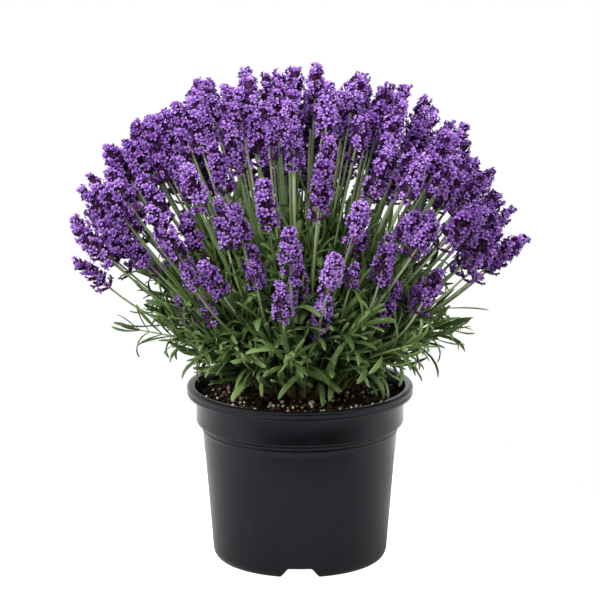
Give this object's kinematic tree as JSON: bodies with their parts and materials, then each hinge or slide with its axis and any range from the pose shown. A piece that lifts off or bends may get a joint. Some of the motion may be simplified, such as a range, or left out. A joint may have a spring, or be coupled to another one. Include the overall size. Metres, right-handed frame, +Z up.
{
  "type": "potted lavender",
  "caption": "Dome of lavender flower spikes on slender stems above grey-green leafy shoots, rooted in potting mix in a round tapered nursery pot with a rolled rim and drainage notches.",
  "frame": {"origin": "centre of the pot's standing face, which is the bottom centre of the whole object", "axes": "+Z up along the pot's axis, -Y towards the front, +X to the right seen from the front"},
  "size_m": [0.3734, 0.2884, 0.4189],
  "materials": {
    "pot_plastic": "satin black injection-moulded nursery pot",
    "potting_mix": "dark crumbly peat and bark potting mix with pale perlite grains",
    "woody_stem": "rough grey-brown bark of old lavender wood",
    "lavender_flower": "soft violet florets in dark calyces on pale green stems",
    "lavender_leaf": "matt grey-green downy leaves"
  },
  "bodies": {
    "root": {"flowering_branch_01": "lavender_flower", "flowering_branch_02": "lavender_flower", "flowering_branch_03": "lavender_flower", "flowering_branch_04": "lavender_flower", "flowering_branch_05": "lavender_flower", "flowering_branch_06": "lavender_flower", "flowering_branch_07": "lavender_flower", "flowering_branch_08": "lavender_flower", "flowering_branch_09": "lavender_flower", "flowering_branch_10": "lavender_flower", "flowering_branch_11": "lavender_flower", "flowering_branch_12": "lavender_flower", "flowering_branch_13": "lavender_flower", "flowering_branch_14": "lavender_flower", "flowering_branch_15": "lavender_flower", "flowering_branch_16": "lavender_flower", "flowering_branch_17": "lavender_flower", "flowering_branch_18": "lavender_flower", "flowering_branch_19": "lavender_flower", "flowering_branch_20": "lavender_flower", "flowering_branch_21": "lavender_flower", "flowering_branch_22": "lavender_flower", "flowering_branch_23": "lavender_flower", "flowering_branch_24": "lavender_flower", "flowering_branch_25": "lavender_flower", "flowering_branch_26": "lavender_flower", "flowering_branch_27": "lavender_flower", "flowering_branch_28": "lavender_flower", "flowering_branch_29": "lavender_flower", "flowering_branch_30": "lavender_flower", "flowering_branch_31": "lavender_flower", "flowering_branch_32": "lavender_flower", "flowering_branch_33": "lavender_flower", "flowering_branch_34": "lavender_flower", "flowering_branch_35": "lavender_flower", "flowering_branch_36": "lavender_flower", "flowering_branch_37": "lavender_flower", "flowering_branch_38": "lavender_flower", "flowering_branch_39": "lavender_flower", "flowering_branch_40": "lavender_flower", "leafy_shoot_01": "lavender_leaf", "leafy_shoot_02": "lavender_leaf", "leafy_shoot_03": "lavender_leaf", "leafy_shoot_04": "lavender_leaf", "leafy_shoot_05": "lavender_leaf", "leafy_shoot_06": "lavender_leaf", "leafy_shoot_07": "lavender_leaf", "leafy_shoot_08": "lavender_leaf", "leafy_shoot_09": "lavender_leaf", "leafy_shoot_10": "lavender_leaf", "leafy_shoot_11": "lavender_leaf", "leafy_shoot_12": "lavender_leaf", "leafy_shoot_13": "lavender_leaf", "leafy_shoot_14": "lavender_leaf", "leafy_shoot_15": "lavender_leaf", "leafy_shoot_16": "lavender_leaf", "leafy_shoot_17": "lavender_leaf", "pot": "pot_plastic", "potting_mix": "potting_mix", "woody_crown": "woody_stem"}
  },
  "joints": []
}
